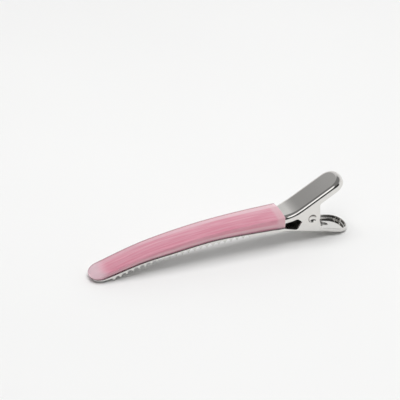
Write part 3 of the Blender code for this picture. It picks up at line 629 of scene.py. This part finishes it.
def spring_path():
    """Lower leg, helix round the pivot and upper leg. In side view a leg is straight and touches the coil."""
    lower_end = np.array([LOWER_LEG_END, float(pan_line(LOWER_LEG_END)) + WIRE / 2])
    under = np.array([-np.sin(HANDLE_TILT), -np.cos(HANDLE_TILT)]) * (SHEET + LEG_GAP + WIRE / 2)
    upper_end = np.array([UPPER_LEG_END, float(handle_line(UPPER_LEG_END))]) + under
    first = np.arctan2(*(tangent_point(COIL_RADIUS, lower_end, 1) - PIVOT)[::-1])
    last = np.arctan2(*(tangent_point(COIL_RADIUS, upper_end, -1) - PIVOT)[::-1]) + 2 * np.pi * WHOLE_TURNS
    share = np.linspace(0, 1, COIL_POINTS)
    angle = first + (last - first) * share
    coil = np.stack([PIVOT[0] + COIL_RADIUS * np.cos(angle), COIL_HALF_SPAN * (2 * share - 1),
                     PIVOT[1] + COIL_RADIUS * np.sin(angle)], -1)

    def leg(turn, side, end, end_side):
        touch = PIVOT + COIL_RADIUS * np.array([np.cos(turn), np.sin(turn)])
        out = np.linspace(1, 0, LEG_POINTS + 1)[:-1]
        flat = touch + (end - touch) * out[:, None]
        return np.stack([flat[:, 0], side + (end_side - side) * ease(out, LEG_STRAIGHT, 1), flat[:, 1]], -1)

    lower_leg = leg(first, -COIL_HALF_SPAN, lower_end, SLOT_SIDE)
    upper_leg = leg(last, COIL_HALF_SPAN, upper_end, UPPER_LEG_SIDE)
    return np.concatenate([lower_leg, coil, upper_leg[::-1]])


path = spring_path()
spring_wire = add_piece("spring_wire", round_mesh("spring_wire", tube(path, WIRE / 2), SOFT_FOLD))

# %% [markdown]
# ## The vinyl sleeve
#
# The sleeve is a sock of translucent vinyl, pulled over the upper jaw, with a closed round tip and an open
# end at the hinge. Its section is a box with soft corners that shrinks into the tip, carried along the jaw.
# It has real thickness and a hollow inside, because light goes in through the outer skin, strikes the steel
# jaw and comes back.

# %% The sleeve's sections
ALONG, TIP_RINGS, TIP_TURN = 150, 28, 0.985
TIP_ROUND, TIP_EDGE = 4.9 * MM, 1.5 * MM
TOP_CORNER, FOOT_CORNER = 0.7 * MM, 0.6 * MM
FOOT_SHARES, SIDE_SHARES, TOP_SHARES = (0.0, 0.3, 0.6, 0.9), (0.25, 0.5, 0.75), np.linspace(1, 0, 16)[1:]
ROLL_START, ROLL_SOFTNESS, TOP_TILT = 0.32, 0.06, math.tan(math.radians(9))


def roll(share):
    """A level that passes softly into a slope: the mean of the way past the start and its softened size."""
    way = share - ROLL_START
    return (way + np.hypot(way, ROLL_SOFTNESS)) / 2


def sleeve_rings(inset, tip, tip_round, tip_edge, crown):
    """Section after section along the sleeve: quarter circles at four corners, and a top with a slight crown.

    Over the tip's rounding the half width follows a superellipse, and at its end the height an ellipse.
    """
    turn = np.linspace(0, TIP_TURN, TIP_RINGS)
    x = np.concatenate([np.linspace(SLEEVE_START, tip - tip_round, ALONG)[:-1],
                        tip - tip_round * (1 - np.sin(turn * np.pi / 2))])
    past, flat = ((x - tip + size).clip(0) / size for size in (tip_round, tip_edge))
    half = (sleeve_half_width(x) - inset) * (1 - past**END_EXPONENT) ** (1 / END_EXPONENT)
    low, high = sleeve_foot(x) + inset, sleeve_top(x) - inset
    middle, tall = (low + high) / 2, (high - low) / 2 * np.sqrt((1 - flat**2).clip(0))
    top = np.minimum(np.minimum(TOP_CORNER - inset, half), tall)
    foot = np.minimum(np.minimum(FOOT_CORNER - inset, half), tall)
    below = [((half - foot) * share, middle - tall) for share in FOOT_SHARES]
    low_corner = [(half - foot * (1 - np.sin(a)), middle - tall + foot * (1 - np.cos(a))) for a in ARC]
    start, end = low_corner[-1][1], middle + tall - top
    side = [(half, start + (end - start) * share) for share in SIDE_SHARES]
    high_corner = [(half - top * (1 - np.cos(a)), middle + tall - top * (1 - np.sin(a))) for a in ARC]
    rise = crown * (half - top) * (1 - past)
    above = [((half - top) * share, middle + tall + (roll(1.0) - roll(share)) * rise) for share in TOP_SHARES]
    y, z = np.array(below + low_corner + side + high_corner + above).transpose(1, 2, 0)
    half_rings = np.stack([np.repeat(x[:, None], y.shape[1], 1), y, z], -1)
    return np.concatenate([half_rings, half_rings[:, -2:0:-1] * (1, -1, 1)], axis=1)


# %% The sleeve's skin
LIP, LIP_RINGS, CAP_SHARES = 0.12 * MM, 7, np.array([0.5, 1.0])


def sleeve_mesh():
    """Outer rings from the tip to the hinge end, rings round the open rim, inner rings back to the tip."""
    outer = sleeve_rings(0, SLEEVE_TIP, TIP_ROUND, TIP_EDGE, TOP_TILT)
    inner = sleeve_rings(
        SLEEVE_WALL, UPPER_JAW_TIP + SLEEVE_FIT, UPPER_JAW_ROUND + SLEEVE_FIT, SLEEVE_WALL, 0.0
    )
    lip_turn = np.linspace(0, np.pi, LIP_RINGS + 2)[1:-1, None, None]
    centre, reach = (outer[0] + inner[0]) / 2, (outer[0] - inner[0]) / 2
    lip = centre + reach * np.cos(lip_turn) + np.array([LIP, 0, 0]) * (1 - np.sin(lip_turn))
    outer[0, :, 0] += LIP
    inner[0, :, 0] += LIP
    skin = np.concatenate([outer[::-1], lip, inner])

    def cap(ring):
        return ring + (ring.mean(axis=0) - ring) * CAP_SHARES[:, None, None]

    skin = np.concatenate([cap(skin[0])[::-1], skin, cap(skin[-1])])
    rows, columns = skin.shape[:2]
    u = sleeve_share(skin[..., 0])
    v = np.repeat(np.linspace(0, 1, columns, endpoint=False)[None], rows, 0)
    uv = np.stack([u, v], -1).reshape(-1, 2)
    return round_mesh("sleeve_skin", skin, SOFT_FOLD, uv)


sleeve_skin = add_piece("sleeve_skin", sleeve_mesh())

# %% [markdown]
# ## Each piece rides on its body
#
# The finger plate stays with the lower half, and the thumb plate and the sleeve turn with the upper half.
# The spring wire takes the place of its solid too, but stays in place and follows neither half.
# Each piece stands for its solid; the table also lists that solid's material slot, which the loop doesn't
# use.

for piece, body, node, slot in (
    (finger_plate, "lower_half", "lower_plate", "pressed_steel"),
    (thumb_plate, "upper_half", "upper_plate", "bright_steel"),
    (sleeve_skin, "upper_half", "jaw_sleeve", "pink_vinyl"),
):
    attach(piece, body)
    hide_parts(node)

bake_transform(spring_wire)
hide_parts("torsion_spring")

# %% [markdown]
# ## Shader helpers
#
# Every finish is made of nodes. Small functions that add a node and fill its sockets keep recipes short.


# %% Node helpers
def fill(tree, node, inputs):
    """Gives each named socket a plain value, or a link where the value is another node's output."""
    for key, value in inputs.items():
        if isinstance(value, bpy.types.NodeSocket):
            tree.links.new(value, node.inputs[key])
        else:
            node.inputs[key].default_value = value


def add_node(tree, kind, inputs=None, **settings):
    """Adds a node with these settings and fills its sockets."""
    made = tree.nodes.new(kind)
    for key, value in settings.items():
        setattr(made, key, value)
    fill(tree, made, inputs or {})
    return made


def new_material(name):
    """A node material with its Principled shader, and the tree to build in."""
    made = bpy.data.materials.new(name)
    made.use_nodes = True
    return made, made.node_tree, made.node_tree.nodes["Principled BSDF"]


# %% Arithmetic in nodes
def math_node(tree, operation, a, b=0.5, c=0.0):
    """One step of arithmetic on values or sockets."""
    return add_node(tree, "ShaderNodeMath", {0: a, 1: b, 2: c}, operation=operation).outputs[0]


def times(tree, first, *others):
    """The product of values or sockets."""
    for other in others:
        first = math_node(tree, "MULTIPLY", first, other)
    return first


def highest(tree, first, *others):
    """The highest of values or sockets."""
    for other in others:
        first = math_node(tree, "MAXIMUM", first, other)
    return first


def stepped(tree, value, start, end, low=0.0, high=1.0):
    """A smooth change from low to high as the value goes from start to end."""
    inputs = {"Value": value, "From Min": start, "From Max": end, "To Min": low, "To Max": high}
    return add_node(tree, "ShaderNodeMapRange", inputs, interpolation_type="SMOOTHSTEP").outputs["Result"]


def mixed(tree, share, first, second):
    """A colour that goes from the first to the second as the share goes from 0 to 1."""
    return add_node(tree, "ShaderNodeMix", {0: share, 6: first, 7: second}, data_type="RGBA").outputs[2]


def noise(tree, place, scale, detail, distortion=0.0):
    """Cloudy values from 0 to 1."""
    inputs = {"Vector": place, "Scale": scale, "Detail": detail, "Distortion": distortion}
    return add_node(tree, "ShaderNodeTexNoise", inputs).outputs[0]


def split(tree, vector):
    """The X, Y and Z of a vector."""
    return add_node(tree, "ShaderNodeSeparateXYZ", {0: vector}).outputs


def place_of(tree):
    """Where a point of a piece is: X from the clip's middle towards the tip, Y across, Z up."""
    return split(tree, add_node(tree, "ShaderNodeTexCoord").outputs["Object"])


def normal_of(tree):
    """Which way the surface faces."""
    return split(tree, add_node(tree, "ShaderNodeNewGeometry").outputs["Normal"])


# %% [markdown]
# ## Steel
#
# Nickel plated sheet is smooth but never perfect: rolling leaves a faint grain along the strip, plating a
# slight orange peel, and fingers a haze that makes some places duller. Grain and peel are too shallow to
# model, so they are a bump, and the haze changes roughness. The plates and the wire share one group with
# different amounts.

# %% Plated steel group
GRAIN_STRETCH = (120.0, 2600.0, 2600.0)
HAZE_TONE, HAZE_STRENGTH, BUMP_DEPTH = (0.55, 0.54, 0.52, 1), 0.06, 0.02 * MM

steel_group = bpy.data.node_groups.new("plated_finish", "ShaderNodeTree")
for way, label, kind in (
    ("INPUT", "Tone", "Color"), ("INPUT", "Roughness", "Float"), ("INPUT", "Grain", "Float"),
    ("INPUT", "Haze", "Float"), ("OUTPUT", "Color", "Color"), ("OUTPUT", "Roughness", "Float"),
    ("OUTPUT", "Normal", "Vector"),
):
    steel_group.interface.new_socket(label, in_out=way, socket_type="NodeSocket" + kind)
given = steel_group.nodes.new("NodeGroupInput").outputs
spot = add_node(steel_group, "ShaderNodeTexCoord").outputs["Object"]
along_strip = add_node(steel_group, "ShaderNodeMapping", {"Vector": spot, "Scale": GRAIN_STRETCH}).outputs[0]
grain = noise(steel_group, along_strip, 1.0, 3.0)
peel = noise(steel_group, spot, 420.0, 2.0)
hazed = stepped(steel_group, noise(steel_group, spot, 95.0, 4.0, 0.6), 0.42, 0.68)
height = math_node(steel_group, "MULTIPLY_ADD", peel, 0.8, grain)
relief = {"Strength": given["Grain"], "Distance": BUMP_DEPTH, "Height": height}
bump = add_node(steel_group, "ShaderNodeBump", relief).outputs[0]
rough = math_node(steel_group, "MULTIPLY_ADD", hazed, given["Haze"], given["Roughness"])
tone = mixed(steel_group, times(steel_group, hazed, HAZE_STRENGTH), given["Tone"], HAZE_TONE)
add_node(steel_group, "NodeGroupOutput", {"Color": tone, "Roughness": rough, "Normal": bump})


# %% A steel, and a piece that wears it
# Painted shade: the dark steel tone that the unlit masks mix in.
UNLIT_TONE = (0.16, 0.15, 0.14, 1)


def steel(name, tone, roughness, grain, haze, unlit=()):
    """A metal with the plated finish, with painted shade where one of the unlit masks is 1."""
    made, tree, shader = new_material(name)
    amounts = {"Tone": (*tone, 1), "Roughness": roughness, "Grain": grain, "Haze": haze}
    colour, rough, bump = add_node(tree, "ShaderNodeGroup", amounts, node_tree=steel_group).outputs
    if unlit:
        colour = mixed(tree, highest(tree, *(mask(tree) for mask in unlit)), colour, UNLIT_TONE)
    fill(tree, shader, {"Metallic": 1.0, "Base Color": colour, "Roughness": rough, "Normal": bump})
    return made


def dress(piece, made):
    """Gives a piece one material."""
    piece.data.materials.clear()
    piece.data.materials.append(made)
    piece.data.polygons.foreach_set("material_index", np.zeros(len(piece.data.polygons), np.int32))
    print(piece.name, "wears", made.name)


# %% [markdown]
# ### Where little light comes in
#
# Bright steel mirrors its surroundings, and in the simple room below the hollows would come out too light.
# So the inner walls from the hinge on, the upper wall of each dimple and the slot's walls carry painted
# shade, a darker steel tone, and so, slightly, does the handle towards its shoulder.

# %% Masks of the painted shade on the steel
HINGE_SIDE, HINGE_TURNS_IN = (-43.0 * MM, -41.0 * MM), (-0.8 * MM, -2.5 * MM)
DIMPLE_REACH, DIMPLE_RISE, DIMPLE_SKIN = (1.9 * MM, 1.6 * MM), (0.0, 0.9 * MM), (6.19 * MM, 6.1 * MM)
SHADE_GROWS, SHADE_ENDS, SHADE = (-51.0 * MM, -35.0 * MM), (-33.5 * MM, -30.5 * MM), 0.20
SLOT_REACH, SLOT_STRETCH = (1.35 * MM, 1.2 * MM), (-38.0 * MM, -39.0 * MM)
LEVEL_FACE, STEEP_FACE = (0.5, 0.8), (0.6, 0.4)


def inside(tree):
    """Painted shade: 1 on walls from the hinge on whose normal points to the clip's middle line."""
    place = place_of(tree)
    inward = times(tree, place["Y"], normal_of(tree)["Y"])
    return times(tree, stepped(tree, inward, *HINGE_TURNS_IN), stepped(tree, place["X"], *HINGE_SIDE))


def upper_dimple_shade(tree):
    """Painted shade: 1 on the upper wall of a dimple, by the distance from the pivot line in the side view.
    """
    place, pivot = place_of(tree), seated(np.array([PIVOT[0], 0.0, PIVOT[1]]))
    x = math_node(tree, "SUBTRACT", place["X"], pivot[0])
    z = math_node(tree, "SUBTRACT", place["Z"], pivot[2])
    reach = math_node(tree, "SQRT", math_node(tree, "ADD", times(tree, x, x), times(tree, z, z)))
    sunk = stepped(tree, math_node(tree, "ABSOLUTE", place["Y"]), *DIMPLE_SKIN)
    return times(tree, stepped(tree, reach, *DIMPLE_REACH), stepped(tree, z, *DIMPLE_RISE), sunk)


def shoulder_shade(tree):
    """Painted shade that grows along the handle's upper face up to the shoulder, and ends there."""
    along = place_of(tree)["X"]
    growing = stepped(tree, along, *SHADE_GROWS, 0.0, SHADE)
    ending = stepped(tree, along, *SHADE_ENDS, 1.0, 0.0)
    return times(tree, growing, ending, stepped(tree, normal_of(tree)["Z"], *LEVEL_FACE))


def slot_wall_shade(tree):
    """Painted shade: 1 on the steep faces beside the middle line of the pan's slot."""
    place = place_of(tree)
    aside = math_node(tree, "ABSOLUTE", math_node(tree, "SUBTRACT", place["Y"], SLOT_SIDE))
    steep = stepped(tree, math_node(tree, "ABSOLUTE", normal_of(tree)["Z"]), *STEEP_FACE)
    return times(tree, stepped(tree, aside, *SLOT_REACH), steep, stepped(tree, place["X"], *SLOT_STRETCH))


# %% The three steels
# Painted shade on the hinge's inner walls, the dimples' upper walls and the handle by its shoulder.
unlit = inside, upper_dimple_shade, shoulder_shade
dress(thumb_plate, steel("nickel_thumb_plate", (0.76, 0.745, 0.72), 0.10, 0.06, 0.04, unlit))
# Painted shade on the hinge's inner walls and the slot's walls.
unlit = inside, slot_wall_shade
dress(finger_plate, steel("nickel_finger_plate", (0.74, 0.73, 0.71), 0.09, 0.08, 0.04, unlit))
dress(spring_wire, steel("spring_steel", (0.38, 0.37, 0.36), 0.20, 0.15, 0.06))

# %% [markdown]
# ## Vinyl
#
# The sleeve is soft vinyl, half clear and half milky: part of the light goes through it to the steel jaw
# and back, and part scatters in it. Transmission and a base colour in one Principled shader give both.
# Moulding leaves faint flow lines along the sleeve, which are a noise stretched along its own UV map.
#
# The colour carries painted light and shade. Painted light, for light that comes through the vinyl, makes it
# pale on the far slope and over the tip, and it is also paler at the hinge end. A painted highlight makes one
# light line above the foot. Painted shade makes it dark along the foot, for the gap above the toothed jaw,
# along the far edge and where the skin turns away from the eye. A faint emission is a painted glow for the
# light that the vinyl passes on inside, brighter over the tip and on the far slope.

# %% Flow lines
vinyl, tree, shader = new_material("rose_vinyl")
uv = add_node(tree, "ShaderNodeUVMap", uv_map="along_and_around").outputs[0]
flow_place = add_node(tree, "ShaderNodeMapping", {"Vector": uv, "Scale": (5.0, 26.0, 1.0)}).outputs[0]
flow = noise(tree, flow_place, 1.0, 4.0)
relief = {"Strength": 0.12, "Distance": 0.06 * MM, "Height": flow}
flow_bump = add_node(tree, "ShaderNodeBump", relief).outputs[0]

# %% Bands of the sleeve, mostly painted light and shade: along it, and round it from the middle of the foot
uv_parts = split(tree, uv)
along, around = uv_parts["X"], uv_parts["Y"]
from_foot = math_node(tree, "PINGPONG", around, 0.5)
facing = add_node(tree, "ShaderNodeLayerWeight", {"Blend": 0.5}).outputs["Facing"]
# Painted light: paler where the skin faces the eye at a slant, which is the far slope.
far_slope_light = stepped(tree, facing, 0.50, 0.60)
hinge_end = stepped(tree, along, 0.050, 0.030, 0.0, 0.8)
# Painted light over the tip, where no steel lies behind the vinyl.
tip = stepped(tree, along, 0.90, 0.97, 0.0, 0.9)
# Painted highlight: one light line just above the foot.
highlight_line = times(tree, stepped(tree, from_foot, 0.156, 0.162), stepped(tree, from_foot, 0.184, 0.172))
# Painted shade: a dark line along the foot, for the gap above the toothed jaw.
foot = stepped(tree, from_foot, 0.158, 0.140)
# Painted shade along the far edge and where the skin turns away from the eye; rim gathers it with the foot's
# line.
far_edge_shade = times(tree, stepped(tree, around, 0.672, 0.686, 0.0, 0.45), stepped(tree, around, 0.80, 0.75))
rim = highest(tree, foot, stepped(tree, facing, 0.74, 0.92, 0.0, 0.85), far_edge_shade)

# %% Vinyl colours, with painted light and shade
# The line colour is a painted highlight, the rim colour painted shade, and the glows a painted glow.
# The pale colour is painted light on the far slope and also colours the hinge end; the tip colour is painted
# light.
DEEP_ROSE, STREAK_ROSE, PALE_ROSE = (0.93, 0.45, 0.57, 1), (1.0, 0.61, 0.71, 1), (1.0, 0.76, 0.81, 1)
TIP_LIT_ROSE, HIGHLIGHT_ROSE, RIM_SHADE_PLUM = (1.0, 0.82, 0.88, 1), (1.0, 0.72, 0.78, 1), (0.12, 0.05, 0.07, 1)
DEEP_GLOW, PALE_GLOW = (0.20, 0.05, 0.07, 1), (1.0, 0.58, 0.68, 1)
COAT, FAR_GLOW = 0.6, 0.5

colour = mixed(tree, stepped(tree, flow, 0.35, 0.7), DEEP_ROSE, STREAK_ROSE)
# pale gathers the far slope's painted light and the paler hinge end.
pale = highest(tree, far_slope_light, hinge_end)
for band, band_colour in ((pale, PALE_ROSE), (tip, TIP_LIT_ROSE), (highlight_line, HIGHLIGHT_ROSE), (rim, RIM_SHADE_PLUM)):
    colour = mixed(tree, band, colour, band_colour)
# Painted glow: the emission colour is lighter over the tip and, less, on the far slope.
glow = mixed(tree, highest(tree, tip, times(tree, far_slope_light, FAR_GLOW)), DEEP_GLOW, PALE_GLOW)
# The coat is thinner where the painted shade of the rim lies.
coat = times(tree, math_node(tree, "SUBTRACT", 1.0, rim), COAT)
fill(tree, shader, {
    "Base Color": colour, "Roughness": stepped(tree, flow, 0.3, 0.8, 0.14, 0.24), "Normal": flow_bump,
    "Coat Weight": coat, "Coat Roughness": 0.06, "Emission Color": glow, "Emission Strength": 0.10,
    "IOR": 1.45, "Transmission Weight": 0.55,
})
dress(sleeve_skin, vinyl)

# %% [markdown]
# ## Studio
#
# Polished steel is a picture of its room. The photograph's metal shows a white table that runs up into a
# white backdrop, grey above it, a dark room behind the camera, a grey card at the back and a bright window
# high in front, which draws the white line along the handle. The world holds that room as a few smooth
# steps of direction. One broad lamp overhead gives the soft shadow, and the metal doesn't mirror it.

# %% Table
TABLE_HALF, TABLE_DROP = 4.0, 0.02 * MM
TABLE_TONES = (0.86, 0.86, 0.855, 1), (0.90, 0.90, 0.895, 1)


def table():
    """A plain square, large enough that its end is never seen."""
    mesh = bpy.data.meshes.new("table_top")
    corners = [(x * TABLE_HALF, y * TABLE_HALF, 0) for x, y in ((-1, -1), (1, -1), (1, 1), (-1, 1))]
    mesh.from_pydata(corners, [], [(0, 1, 2, 3)])
    piece = add_piece("table_top", mesh)
    piece.location.z = -TABLE_DROP
    made, tree, shader = new_material("pale_table")
    spot = add_node(tree, "ShaderNodeTexCoord").outputs["Object"]
    colour = mixed(tree, noise(tree, spot, 6.0, 2.0), *TABLE_TONES)
    fill(tree, shader, {"Base Color": colour, "Roughness": 0.7, "Specular IOR Level": 0.2})
    dress(piece, made)


table()

# %% Room
FRONT, LEFT = Vector((0.385, 0.923, 0.0)), Vector((0.923, -0.385, 0.0))
CARD, WINDOW = Vector((0.323, -0.788, 0.523)), Vector((0.412, 0.468, 0.780))


def room():
    """The world: white low down, grey above, dark in front, then the card at the back and the window."""
    world = bpy.data.worlds.new("studio")
    bpy.context.scene.world = world
    world.use_nodes = True
    tree = world.node_tree
    way = add_node(tree, "ShaderNodeTexCoord").outputs["Generated"]
    z = split(tree, way)["Z"]

    def towards(direction):
        both = {0: way, 1: direction}
        return add_node(tree, "ShaderNodeVectorMath", both, operation="DOT_PRODUCT").outputs["Value"]

    walls = times(tree, stepped(tree, z, 0.10, 0.60, 1.0, 0.72), stepped(tree, z, 0.64, 0.80, 1.0, 0.30))
    low, high = stepped(tree, z, 0.14, 0.28), stepped(tree, z, 0.72, 0.80, 1.0, 0.0)
    dark = times(tree, stepped(tree, towards(FRONT), 0.05, 0.35), low, high)
    dark = stepped(tree, dark, 0.0, 1.0, 1.0, 0.05)
    card = stepped(tree, towards(CARD), 0.950, 0.993, 1.0, 0.58)
    window = stepped(tree, towards(WINDOW), 0.955, 0.972, 0.0, 1.4)
    strength = highest(tree, times(tree, walls, dark, card), window)
    fill(tree, tree.nodes["Background"], {"Color": (1.0, 1.0, 1.0, 1.0), "Strength": strength})


room()

# %% Lamp
LAMP_HEIGHT, LAMP_BACK, LAMP_RIGHT, LAMP_SIZE, LAMP_POWER = 1.0, 0.03, 0.05, 0.80, 7.9
CLIP_MIDDLE = Vector((0, 0, 0.01))


def lamp():
    """A square area light over the clip that looks at its middle."""
    data = bpy.data.lights.new("overhead", "AREA")
    data.shape, data.size, data.energy = "SQUARE", LAMP_SIZE, LAMP_POWER
    piece = bpy.data.objects.new("overhead", data)
    piece.location = FRONT * -LAMP_BACK + LEFT * -LAMP_RIGHT + Vector((0, 0, LAMP_HEIGHT))
    piece.rotation_euler = (CLIP_MIDDLE - piece.location).to_track_quat("-Z", "Y").to_euler()
    piece.visible_glossy = False
    bpy.context.scene.collection.objects.link(piece)


lamp()

# %% [markdown]
# ## Camera
#
# The camera's place was worked out from the photograph: a long lens, which keeps the clip's far end nearly
# as large as its near end, 31 degrees above the table, with the clip turned so that its handles point to
# the right and away from the tip.

# %% Camera
ELEVATION, DISTANCE, ROLL = math.radians(31.34), 1.139, math.radians(0.68)
CLIP_PLACE, CLIP_YAW = Vector((58.47, -18.02, 0.0)) * MM, math.radians(202.65)
IMAGE_WIDTH, FOCAL_PIXELS, SENSOR_WIDTH = 400, 2790.6, 36.0
NEAR, FAR = 0.05, 20.0

data = bpy.data.cameras.new("camera")
data.sensor_width = SENSOR_WIDTH
data.lens = FOCAL_PIXELS / IMAGE_WIDTH * SENSOR_WIDTH
data.clip_start, data.clip_end = NEAR, FAR
camera = bpy.data.objects.new("camera", data)
bpy.context.scene.collection.objects.link(camera)
eye = Matrix.Translation((0, -DISTANCE * math.cos(ELEVATION), DISTANCE * math.sin(ELEVATION)))
looking = eye @ Matrix.Rotation(math.pi / 2 - ELEVATION, 4, "X") @ Matrix.Rotation(ROLL, 4, "Z")
clip_in_photo = Matrix.Translation(CLIP_PLACE) @ Matrix.Rotation(CLIP_YAW, 4, "Z")
end_from_middle = Matrix.Translation((-LENGTH / 2, 0, 0))
camera.matrix_world = end_from_middle @ clip_in_photo.inverted() @ looking
bpy.context.scene.camera = camera
bpy.context.scene.view_settings.view_transform = "Standard"
print("camera at", [round(v, 4) for v in camera.matrix_world.translation], "lens", round(data.lens, 1))
